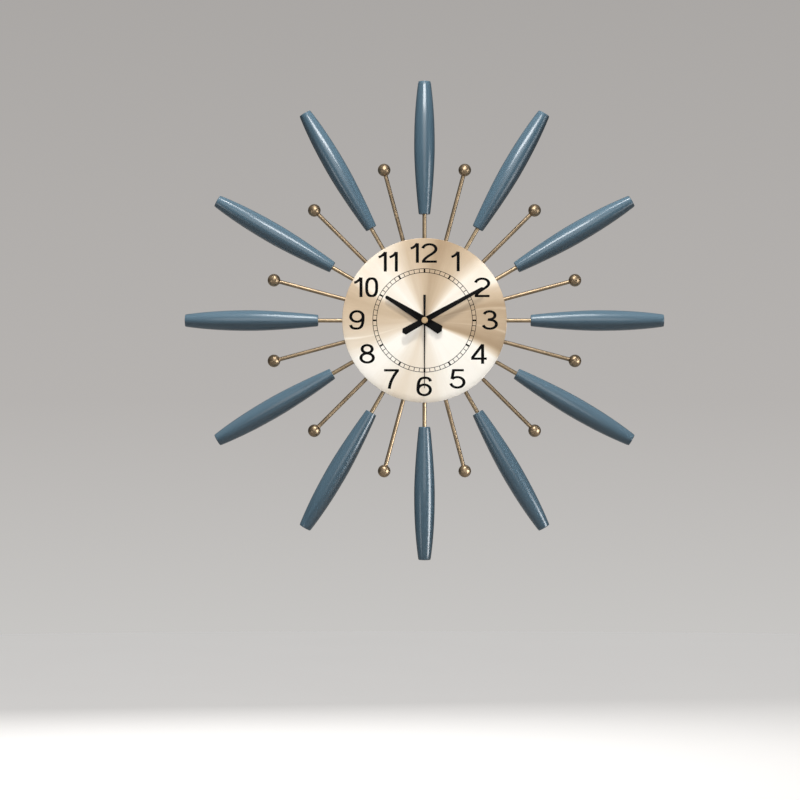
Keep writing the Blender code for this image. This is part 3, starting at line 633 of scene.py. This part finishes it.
def bare_metal():
    """The unfinished back of the dial: dull rolled aluminium."""
    n = Nodes("bare_metal", metallic=1.0)
    rolled = n.noise(n.stretched(n.place(), (1500, 40, 400)), 1.0, 3.0, 0.5)
    n.colour(n.mixed(n.noise(n.place(), 30.0, 3.0), (0.40, 0.37, 0.33), (0.50, 0.47, 0.43)))
    n.rough(n.between(rolled, 0.38, 0.52))
    return n.material


dial = dial_mesh()
dial.materials.append(dial_gold)
dial.materials.append(bare_metal())
for face in dial.polygons:
    inward = face.center.x * face.normal.x + face.center.y * face.normal.y < -1e-6
    inside_lip = inward and face.center.z < DIAL_FRONT - DIAL_SHEET / 2
    if face.normal.z < -0.5 or inside_lip:
        face.material_index = 1
show("dial", dial, None, FIXED, replaces=["dial_plate"])

# Numerals: strokes along their centre lines, a little thinner where they run level

NUMERAL_HEIGHT = 24.5 * MM
NUMERAL_RADIUS = 83.4 * MM
UPRIGHT, LEVEL = 0.156, 0.116  # stroke widths in numeral heights
INK = 0.06 * MM
NUDGES = {  # millimetres that the typesetting moves a numeral from its even place, right and up
    1: (-3.2, 1.4), 2: (-0.4, -0.4), 3: (-1.8, 0.5), 4: (-4.2, -0.3), 5: (-0.5, -0.8),
    6: (-0.4, 0.9), 7: (0.4, -0.9), 8: (0.6, 0.0), 9: (-1.0, 0.6), 10: (-0.6, -0.3),
    11: (-3.9, 1.0), 12: (-0.9, 0.8),
}
HALF_UP, HALF_LEVEL = UPRIGHT / 2, LEVEL / 2


def stroke(points):
    """The outline of a stroke along a line of points, cut square at both ends."""
    left, right = [], []
    for n, point in enumerate(points):
        before, after = points[max(0, n - 1)], points[min(len(points) - 1, n + 1)]
        way = Vector((after[0] - before[0], after[1] - before[1])).normalized()
        half = math.hypot(HALF_UP * way.y, HALF_LEVEL * way.x)
        left.append((point[0] - way.y * half, point[1] + way.x * half))
        right.append((point[0] + way.y * half, point[1] - way.x * half))
    return [left + right[::-1]]


def loop(centre, radii):
    """A closed bowl: an outer and an inner outline. The radii are to its outer edge."""
    wide, tall = radii
    inner = (wide - UPRIGHT, tall - LEVEL)
    return [ring_of(centre, (wide, tall), 56), ring_of(centre, inner, 48)]


def bezier(a, b, c, d, steps):
    """Points on a cubic curve from a to d that heads for b and arrives from c."""
    points = []
    for n in range(steps + 1):
        t = n / steps
        weights = ((1 - t) ** 3, 3 * t * (1 - t) ** 2, 3 * t * t * (1 - t), t**3)
        points.append(
            tuple(sum(w * p[k] for w, p in zip(weights, (a, b, c, d))) for k in (0, 1))
        )
    return points


def squared(path, wide):
    """Fills out an oval's shoulders a little."""
    points = []
    for x, y in path:
        across, up = x - wide / 2, y - 0.5
        swell = 1 + 0.10 * abs(math.sin(2 * math.atan2(up, across / wide))) ** 1.5
        points.append((wide / 2 + across * swell, 0.5 + up * swell))
    return points


def six():
    """The width and the parts of a six: a bowl, and a stroke that rises from its left side."""
    tall = 0.325
    top = 1 - HALF_LEVEL
    rise = [
        *bezier((HALF_UP, tall), (HALF_UP - 0.004, 0.74), (0.15, top), (0.42, top), 20),
        *bezier((0.42, top), (0.60, top), (0.685, 0.90), (0.715, 0.755), 8)[1:],
    ]
    return 0.79, [loop((0.395, tall), (0.395, tall)), stroke(rise)]


def glyph(digit):
    """A digit's width and its parts, in numeral heights, with its lower left corner at 0."""
    if digit == "0":
        wide = 0.66
        outer = ring_of((wide / 2, 0.5), (wide / 2, 0.5), 64)
        inner = ring_of((wide / 2, 0.5), (wide / 2 - UPRIGHT, 0.5 - LEVEL), 56)
        return wide, [[squared(outer, wide), squared(inner, wide)]]
    if digit == "1":
        flag = bezier((0.335, 0.985), (0.28, 0.88), (0.15, 0.77), (0.0, 0.73), 10)
        return 0.40, [stroke([(0.345, 0), (0.345, 1)]), stroke(flag)]
    if digit == "2":
        bowl = [
            *arc((0.395, 0.705), (0.335, 0.295 - HALF_LEVEL), 172, -8, 24),
            *bezier((0.727, 0.669), (0.69, 0.46), (0.20, 0.36), (0.075, HALF_LEVEL), 16)[1:],
        ]
        return 0.78, [stroke(bowl), stroke([(0.015, HALF_LEVEL), (0.775, HALF_LEVEL)])]
    if digit == "3":
        upper = [
            *arc((0.37, 0.740), (0.28, 0.26 - HALF_LEVEL), 164, -80, 26),
            (0.30, 0.522),
        ]
        lower = [
            (0.28, 0.522),
            *arc((0.385, 0.283), (0.34, 0.283 - HALF_LEVEL), 92, -168, 30),
        ]
        return 0.78, [stroke(upper), stroke(lower)]
    if digit == "4":
        slope = [(0.585, 0.985), (0.045, 0.285)]
        bar = [(0.0, 0.265), (0.80, 0.265)]
        return 0.80, [stroke(slope), stroke(bar), stroke([(0.585, 0), (0.585, 1)])]
    if digit == "5":
        bar = [(0.165, 1 - HALF_LEVEL), (0.71, 1 - HALF_LEVEL)]
        stem = [(0.185, 0.98), (0.105, 0.49)]
        bowl = arc((0.375, 0.325), (0.34, 0.325 - HALF_LEVEL), 140, -168, 32)
        return 0.77, [stroke(bar), stroke(stem), stroke(bowl)]
    if digit == "6":
        return six()
    if digit == "7":
        bar = [(0.01, 1 - HALF_LEVEL), (0.765, 1 - HALF_LEVEL)]
        slope = bezier((0.735, 0.955), (0.50, 0.70), (0.315, 0.35), (0.275, 0.0), 16)
        return 0.77, [stroke(bar), stroke(slope)]
    if digit == "8":
        return 0.79, [loop((0.395, 0.745), (0.335, 0.255)), loop((0.395, 0.29), (0.395, 0.29))]
    wide, parts = six()
    return wide, [[[(wide - x, 1 - y) for x, y in path] for path in part] for part in parts]


def numeral_mesh(hour):
    """The digits of an hour, upright, centred on its place on the dial."""
    gap = 0.16  # between two digits, in numeral heights
    digits = [glyph(digit) for digit in str(hour)]
    total = sum(wide for wide, _ in digits) + gap * (len(digits) - 1)
    turn = math.tau * hour / 12
    nudge_right, nudge_up = NUDGES[hour]
    left = NUMERAL_RADIUS * math.sin(turn) + nudge_right * MM - total / 2 * NUMERAL_HEIGHT
    foot = NUMERAL_RADIUS * math.cos(turn) + nudge_up * MM - NUMERAL_HEIGHT / 2
    solids = []
    for wide, parts in digits:
        for part in parts:
            paths = [
                [(left + x * NUMERAL_HEIGHT, foot + y * NUMERAL_HEIGHT) for x, y in path]
                for path in part
            ]
            solids.append(plate(paths, DIAL_FRONT - INK, DIAL_FRONT + INK, "numeral"))
        left += (wide + gap) * NUMERAL_HEIGHT
    return merged(solids, f"numeral_{hour:02d}")


for hour in HOURS:
    show(f"numeral_{hour:02d}", numeral_mesh(hour), ink, FIXED)

# Minute track: two fine circles with a tick between them at each minute

TRACK_INNER, TRACK_OUTER = 59.8 * MM, 64.6 * MM
TRACK_LINE = 0.72 * MM
HOUR_TICK, MINUTE_TICK = 2.1 * MM, 0.76 * MM


def track_cell(minute):
    """The open cell between the tick of a minute and the next."""
    halves = [(MINUTE_TICK if m % 5 else HOUR_TICK) / 2 for m in (minute, minute + 1)]
    low, high = TRACK_INNER + TRACK_LINE / 2, TRACK_OUTER - TRACK_LINE / 2
    cell = []
    for radius, way in ((low, 1), (high, -1)):
        start = math.tau * minute / 60 + halves[0] / radius
        end = math.tau * (minute + 1) / 60 - halves[1] / radius
        turns = [start + (end - start) * n / 3 for n in range(4)]
        cell += [(radius * math.sin(t), radius * math.cos(t)) for t in turns[::way]]
    return cell


def track_mesh():
    """The printed ring as one sheet, with its cells left open."""
    outer = ring_of((0, 0), TRACK_OUTER + TRACK_LINE / 2, 240)
    inner = ring_of((0, 0), TRACK_INNER - TRACK_LINE / 2, 240)
    cells = [track_cell(minute) for minute in range(60)]
    return plate([outer, inner, *cells], DIAL_FRONT - INK, DIAL_FRONT + INK, "minute_track")


show("minute_track", track_mesh(), ink, FIXED)


# Hands, drawn pointing to twelve and then turned to the time that they show


def rod_of(radius, low, high, sides=32, at=(0, 0)):
    """A round bar along Z between two heights."""
    mesh = turned([(0, high), (radius, high), (radius, low), (0, low)], sides, "rod")
    mesh.transform(Matrix.Translation((*at, 0)))
    return mesh


def tapered(tip, tip_width, tail, tail_point, tail_width):
    """A hand's outline: a round tip, and a wider tail that ends in a blunt point."""
    half, wide = tip_width / 2, tail_width / 2
    tip_arc = arc((0, tip - half), half, 0, 180, 20)
    return [*tip_arc, (-wide, -tail), (0, -tail_point), (wide, -tail)]


def show_hand(node, body, turn, outline, sheet, boss, bore):
    """A blade of sheet on a round boss with a bore, turned by degrees from twelve."""
    face, inset, clear = front(node), 0.2 * MM, 5 * MM
    name = f"{node}_blade"
    blade = plate([outline], face - sheet, face, name)
    solid = merged([blade, rod_of(boss, back(node), face - inset, 40)], name)
    hole = rod_of(bore, back(node) - clear, face + clear)
    mesh = smoothed(bevelled(merged([solid, hole], name, "DIFFERENCE"), 0.14 * MM))
    matrix = STAND @ Matrix.Rotation(-math.radians(turn), 4, "Z")
    show(name, mesh, hand_black, body, matrix, [node])


hour_outline = tapered(57 * MM, 4.2 * MM, 22.8 * MM, 25.3 * MM, 11.6 * MM)
minute_outline = tapered(83.6 * MM, 3.6 * MM, 29 * MM, 31.7 * MM, 8.6 * MM)
needle = [
    (0.4 * MM, 84.7 * MM), (-0.4 * MM, 84.7 * MM), (-0.95 * MM, 0), (-1.65 * MM, -31.8 * MM),
    (1.65 * MM, -31.8 * MM), (0.95 * MM, 0),
]
show_hand("hour_hand", "hour_unit", 301.4, hour_outline, 1.0 * MM, 4.4 * MM, 2.8 * MM)
show_hand("minute_hand", "minute_unit", 61.0, minute_outline, 0.9 * MM, 3.2 * MM, 1.9 * MM)
show_hand("second_hand", "second_unit", 180.0, needle, 0.6 * MM, 2.2 * MM, 0.8 * MM)


def cap_mesh():
    """The cap: a round edge in front, and a bore behind for the second hand's arbor."""
    face, behind, radius = front("centre_cap"), back("centre_cap"), height("centre_cap") / 2
    edge, bore, depth = 0.7 * MM, 0.8 * MM, 1.5 * MM
    profile = [
        (0, face),
        (radius - edge - 0.2 * MM, face),
        *arc((radius - edge, face - edge), edge, 80, 0, 6),
        (radius, behind),
        (bore, behind),
        (bore, behind + depth),
        (0, behind + depth),
    ]
    return smoothed(turned(profile, 64, "cap"))


show("cap", cap_mesh(), cap_brass, "second_unit", replaces=["centre_cap"])


# Hub, with a socket for every rod

SOCKET_FOOT = ROD_FOOT - 0.3 * MM
POCKET_RADIUS, POCKET_FLOOR = 52 * MM, 19 * MM
BUSH_HOLE = 4.3 * MM


def gathered(meshes, name):
    """Several closed meshes that stay apart, as one."""
    work = bmesh.new()
    for mesh in meshes:
        work.from_mesh(mesh)
    whole = bpy.data.meshes.new(name)
    work.to_mesh(whole)
    work.free()
    return whole


def hub_mesh():
    """A disc with a pocket behind for the movement, and one in front for its nut."""
    edge, inner_edge, clear = 1.0 * MM, 0.6 * MM, 2 * MM
    nut_radius, nut_floor = 11 * MM, 30.8 * MM
    profile = [
        *arc((HUB_RADIUS - edge, HUB_FRONT - edge), edge, 90, 0, 6),
        *arc((HUB_RADIUS - edge, edge), edge, 0, -90, 6),
        *arc((POCKET_RADIUS + inner_edge, inner_edge), inner_edge, 270, 180, 5),
        (POCKET_RADIUS, POCKET_FLOOR),
        (BUSH_HOLE, POCKET_FLOOR),
        (BUSH_HOLE, nut_floor),
        (nut_radius, nut_floor),
        (nut_radius, HUB_FRONT),
    ]
    sockets = []
    for number in range(24):
        socket = rod_of(SOCKET_RADIUS, SOCKET_FOOT, HUB_RADIUS + clear, 24)
        socket.transform(STAND.inverted() @ on_ray(number))
        sockets.append(socket)
    disc = turned(profile, 160, "hub")
    return smoothed(merged([disc, gathered(sockets, "sockets")], "hub", "DIFFERENCE"))


show("hub", hub_mesh(), hub_paint, FIXED, replaces=["hub_disc"])

# Movement cover: a moulded plate with a sunk well for the setting knob

COVER_SHEET = 1.2 * MM
ENGRAVED = 0.3 * MM


def rounded(low, high, corner, steps=8):
    """The outline of a rectangle with round corners."""
    (left, foot), (right, top) = low, high
    return [
        *arc((right - corner, top - corner), corner, 0, 90, steps),
        *arc((left + corner, top - corner), corner, 90, 180, steps),
        *arc((left + corner, foot + corner), corner, 180, 270, steps),
        *arc((right - corner, foot + corner), corner, 270, 360, steps),
    ]


def pivot(joint):
    """Where a joint's axis crosses the face frame."""
    at = Vector(next(j for j in frame["joints"] if j["name"] == joint)["pos_m"])
    return at.x, at.z


def turning_arrow(centre, radius, start, end):
    """A curved band with a point at each end, for the way to turn the knob."""
    half, wing, reach = 0.4 * MM, 1.2 * MM, 16

    def head(first, last, turn, point):
        """Three corners: one side, the point, and the other side."""
        ends = (first, turn), (radius, point), (last, turn)
        return [arc(centre, away, at, at, 1)[0] for away, at in ends]

    return [
        *arc(centre, radius + half, start, end, 20),
        *head(radius + wing, radius - wing, end, end + reach),
        *arc(centre, radius - half, end, start, 20),
        *head(radius - wing, radius + wing, start, start - reach),
    ]


def cross_outline(centre, reach, half):
    """A plus sign, as four turns of one arm's corners."""
    x, y = centre
    points = []
    for quarter in range(4):
        for a, b in ((reach, half), (half, half), (half, reach)):
            for _ in range(quarter):
                a, b = -b, a
            points.append((x + a, y + b))
    return points


def cover_mesh():
    """A moulded plate, with bosses inside, a well for the knob, and slots for its clips."""
    low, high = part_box("movement_cover")
    knob = pivot("set_knob_turn")
    arbors = [
        pivot(f"{name}_turn")
        for name in ("minute_hand", "third_wheel", "fifth_wheel", "rotor", "minute_wheel")
    ]
    corners = (low.x, low.z), (high.x, high.z)
    sheet = plate([rounded(*corners, 3 * MM)], 0, COVER_SHEET, "cover")
    inside = [rod_of(5.9 * MM, COVER_SHEET / 2, 4.2 * MM, 48, knob)]
    inside += [rod_of(1.5 * MM, COVER_SHEET / 2, 2.4 * MM, 24, at) for at in arbors]
    solid = merged([bevelled(sheet, 0.35 * MM, 3), *inside], "cover")

    bore, bore_top, wide, floor = 1.3 * MM, 5 * MM, 5.1 * MM, 2.9 * MM
    steps = [(0, bore_top), (bore, bore_top), (bore, floor), (wide, floor), (wide, -MM), (0, -MM)]
    well = turned(steps, 48, "well")
    well.transform(Matrix.Translation((*knob, 0)))
    mark, half = -9.4 * MM, 0.4 * MM  # height of the battery's signs, and half their line width
    minus = rounded((-24.6 * MM, mark - half), (-21.4 * MM, mark + half), 0.1 * MM, 2)
    engraved = (
        turning_arrow(knob, 7.6 * MM, 40, 140),
        rounded((-24 * MM, 13 * MM), (2 * MM, 23 * MM), MM),
        cross_outline((23 * MM, mark), 1.6 * MM, half),
        minus,
    )
    cuts = [well]
    cuts += [plate([outline], -MM, ENGRAVED, "engraved") for outline in engraved]
    cuts += [rod_of(0.75 * MM, 0.9 * MM, 3 * MM, 16, at) for at in arbors]
    for side in (-1, 1):
        left, right = sorted((side * (high.x - 0.9 * MM), side * (high.x + MM)))
        for foot in (1.5 * MM, 17 * MM):
            slot = rounded((left, foot), (right, foot + 5 * MM), 0.2 * MM, 2)
            cuts.append(plate([slot], -MM, 2 * MM, "clip"))
    return smoothed(merged([solid, gathered(cuts, "cuts")], "cover", "DIFFERENCE"))


show("cover", cover_mesh(), case_plastic, FIXED, replaces=["movement_cover"])

# Battery, lying across the bay with its button to the right

BATTERY_LOW, BATTERY_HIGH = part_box("battery")
BATTERY_HALF = (BATTERY_HIGH.x - BATTERY_LOW.x) / 2


def battery_mesh():
    """The cell along Z: a button on a sunk shoulder, and a shallow dish at the other end."""
    radius, button = (BATTERY_HIGH.z - BATTERY_LOW.z) / 2, 2.7 * MM
    edge, button_edge, dish = 0.5 * MM, 0.4 * MM, 0.25 * MM
    shoulder = BATTERY_HALF - 1.4 * MM
    profile = [
        (0, BATTERY_HALF),
        *arc((button - button_edge, BATTERY_HALF - button_edge), button_edge, 90, 0, 5),
        (button, shoulder),
        (radius - 1.1 * MM, shoulder),
        *arc((radius - 0.55 * MM, shoulder - edge), edge, 110, 0, 6),
        (radius - 0.05 * MM, shoulder - 1.0 * MM),
        (radius, shoulder - 1.2 * MM),
        *arc((radius - edge, edge - BATTERY_HALF), edge, 0, -90, 6),
        (radius - 2.0 * MM, -BATTERY_HALF),
        (radius - 2.2 * MM, dish - BATTERY_HALF),
        (0, dish - BATTERY_HALF),
    ]
    return smoothed(turned(profile, 72, "battery"))


lying = Matrix.Translation((BATTERY_LOW + BATTERY_HIGH) / 2) @ Matrix.Rotation(math.pi / 2, 4, "Y")
film = battery_film(2 * BATTERY_HALF)
show("battery_cell", battery_mesh(), film, FIXED, lying, ["battery"])

# Sheet hanger, clamped under the movement and bent back to its eye

HANGER_SHEET = 0.8 * MM


def hanger_mesh():
    """The sheet's side view and its front view, each drawn out and then intersected."""
    low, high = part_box("hanger")
    half, foot, top = (high.x - low.x) / 2, low.z, high.z
    near, far = -high.y, -low.y
    crank, eye, eye_radius = 29.5 * MM, 36.5 * MM, 3.5 * MM
    side = [
        (foot - MM, far - HANGER_SHEET), (crank, far - HANGER_SHEET),
        (crank, near), (top + MM, near),
        (top + MM, near + HANGER_SHEET), (crank + HANGER_SHEET, near + HANGER_SHEET),
        (crank + HANGER_SHEET, far), (foot - MM, far),
    ]
    bent = plate([side], -half - MM, half + MM, "hanger")
    bent.transform(Matrix(((0, 0, 1, 0), (1, 0, 0, 0), (0, 1, 0, 0), (0, 0, 0, 1))))
    face = [
        *arc((0, top - half), half, 0, 180, 32),
        *arc((0, foot + half), half, 180, 360, 32),
    ]
    holes = [ring_of((0, eye), eye_radius, 40), ring_of((0, 0), BUSH_HOLE, 40)]
    outline = plate([face, *holes], 0, 30 * MM, "outline")
    return smoothed(bevelled(merged([bent, outline], "hanger", "INTERSECT"), 0.12 * MM))


show("hanger_sheet", hanger_mesh(), steel, FIXED, replaces=["hanger"])


# Finishes of the CAD nodes that stay

for material, *nodes in (
    (case_plastic, "movement_case", "set_knob"),
    (nut_brass(), "hex_nut"),
    (circuit_green(), "circuit_board"),
    (coil_copper(), "drive_coil"),
    (steel, "stator", "stepper_rotor", "contact_spring_negative", "contact_spring_positive"),
    (
        moulded_white(), "fifth_wheel", "second_wheel", "third_wheel", "centre_wheel",
        "minute_wheel", "hour_wheel",
    ),
):
    for node in nodes:
        finishes = frame["nodes"][node].data.materials
        finishes.clear()
        finishes.append(material)


# Floor, light and camera

FLOOR = -0.9


def stage_floor():
    """A round of pale paper, clear from below so that views from underneath see the clock."""
    mesh = bpy.data.meshes.new("floor")
    work = bmesh.new()
    bmesh.ops.create_circle(work, cap_ends=True, segments=96, radius=7.0)
    work.to_mesh(mesh)
    work.free()
    floor = bpy.data.objects.new("floor", mesh)
    floor.location.z = FLOOR
    bpy.context.scene.collection.objects.link(floor)
    n = Nodes("floor", roughness=0.75, emission_color=(1.0, 0.98, 0.96, 1.0))
    seen = n.node("ShaderNodeLightPath").outputs["Is Camera Ray"]
    paper = n.mixed(n.noise(n.place(), 3.0, 3.0), (0.80, 0.785, 0.77), (0.84, 0.825, 0.81))
    n.colour(n.mixed(seen, (0.30, 0.295, 0.29), paper))
    n.feed(n.shader.inputs["Emission Strength"], n.maths("MULTIPLY", seen, 0.24))
    under = n.node("ShaderNodeNewGeometry").outputs["Backfacing"]
    clear = n.node("ShaderNodeBsdfTransparent").outputs[0]
    cut = n.node("ShaderNodeMixShader", {0: under, 1: n.shader.outputs[0], 2: clear})
    n.feed(n.tree.nodes["Material Output"].inputs["Surface"], cut.outputs[0])
    mesh.materials.append(n.material)


def soft_light(name, at, aim, size, power, colour=(1, 1, 1)):
    """A rectangular lamp that no camera sees."""
    data = bpy.data.lights.new(name, "AREA")
    data.shape = "RECTANGLE"
    data.size, data.size_y = size
    data.energy = power
    data.color = colour
    light = bpy.data.objects.new(name, data)
    light.location = at
    light.rotation_euler = (Vector(aim) - Vector(at)).to_track_quat("-Z", "Y").to_euler()
    light.visible_camera = False
    bpy.context.scene.collection.objects.link(light)
    return light


def studio_world():
    """A room that is brightest above and in front, with a plain grey backdrop for the camera."""
    world = bpy.data.worlds.new("studio")
    world.use_nodes = True
    sky = Tree(world.node_tree)
    _, ahead, rise = sky.node("ShaderNodeSeparateXYZ", {0: sky.place("Generated")}).outputs
    rise = sky.maths("MULTIPLY_ADD", rise, 0.5, 0.5)
    ahead = sky.maths("MULTIPLY_ADD", ahead, 0.5, 0.5)
    lit = sky.ramp(rise, [(0.0, 0.06), (0.45, 0.10), (0.58, 0.21), (1.0, 0.80)])
    depth = sky.ramp(ahead, [(0.0, 1.0), (0.5, 0.75), (1.0, 0.35)])
    backdrop = [
        (0.46, (0.585, 0.575, 0.560)), (0.50, (0.468, 0.450, 0.436)),
        (0.565, (0.402, 0.386, 0.373)), (1.0, (0.36, 0.35, 0.34)),
    ]
    by_camera = sky.node("ShaderNodeLightPath").outputs["Is Camera Ray"]
    shade = sky.mixed(1.0, lit, depth, "MULTIPLY")
    shade = sky.mixed(by_camera, shade, sky.ramp(rise, backdrop))
    sky.feed(world.node_tree.nodes["Background"].inputs["Color"], shade)
    bpy.context.scene.world = world


stage_floor()
studio_world()

# The main lamps light surfaces, and the lamps after them only show as highlights
KEY_PLACE = (0.06, -0.85, 1.78)
key = soft_light("key", KEY_PLACE, (0, 0, 0), (0.24, 0.24), 64.0, (1.0, 0.98, 0.95))
key.visible_glossy = False
soft_light("front_fill", (0.0, -4.5, 0.9), (0, 0, 0), (2.4, 2.4), 27.0)
back_fill = soft_light("back_fill", (-0.6, 3.6, 1.2), (0, 0, 0), (2.0, 2.0), 60.0)
back_fill.visible_glossy = False
for name, at, size, power in (
    ("key_gloss", KEY_PLACE, (0.5, 0.5), 9.0),
    ("glint", (0.0, -0.38, 0.40), (0.24, 0.12), 1.25),
    ("low_left", (-1.4, -1.2, -0.5), (0.5, 0.5), 1.8),
    ("low_right", (1.4, -1.2, -0.5), (0.5, 0.5), 1.8),
):
    soft_light(name, at, (0, -0.03, 0), size, power).visible_diffuse = False

# Narrow lamps at the right draw the bright line down the lowest ray, and reach few others
SIDE_LAMPS = ((0.05, -0.15), (-0.27, -0.22), (-0.60, -0.285))  # heights of each lamp and its aim
for number, (lamp, aim) in enumerate(SIDE_LAMPS):
    side = soft_light(f"side_{number}", (1.4, -0.77, lamp), (0, -0.03, aim), (0.7, 0.34), 0.38)
    side.data.spread = math.radians(36)
    side.visible_diffuse = False

CAMERA_DISTANCE = 4.0
VIEW_WIDTH = 1.0013  # metres seen across the picture in the rods' plane
VIEW_CENTRE = (-0.0306, -0.0994)  # metres to the right of the clock's axis, and above it
camera = bpy.data.cameras.new("camera")
camera.sensor_width = 36.0
camera.lens = camera.sensor_width * (CAMERA_DISTANCE - ROD_PLANE) / VIEW_WIDTH
camera.clip_end = 60.0
viewer = bpy.data.objects.new("camera", camera)
viewer.location = (VIEW_CENTRE[0], -CAMERA_DISTANCE, VIEW_CENTRE[1])
viewer.rotation_euler = (math.pi / 2, 0, 0)
bpy.context.scene.collection.objects.link(viewer)
bpy.context.scene.camera = viewer
bpy.context.scene.view_settings.view_transform = "Standard"
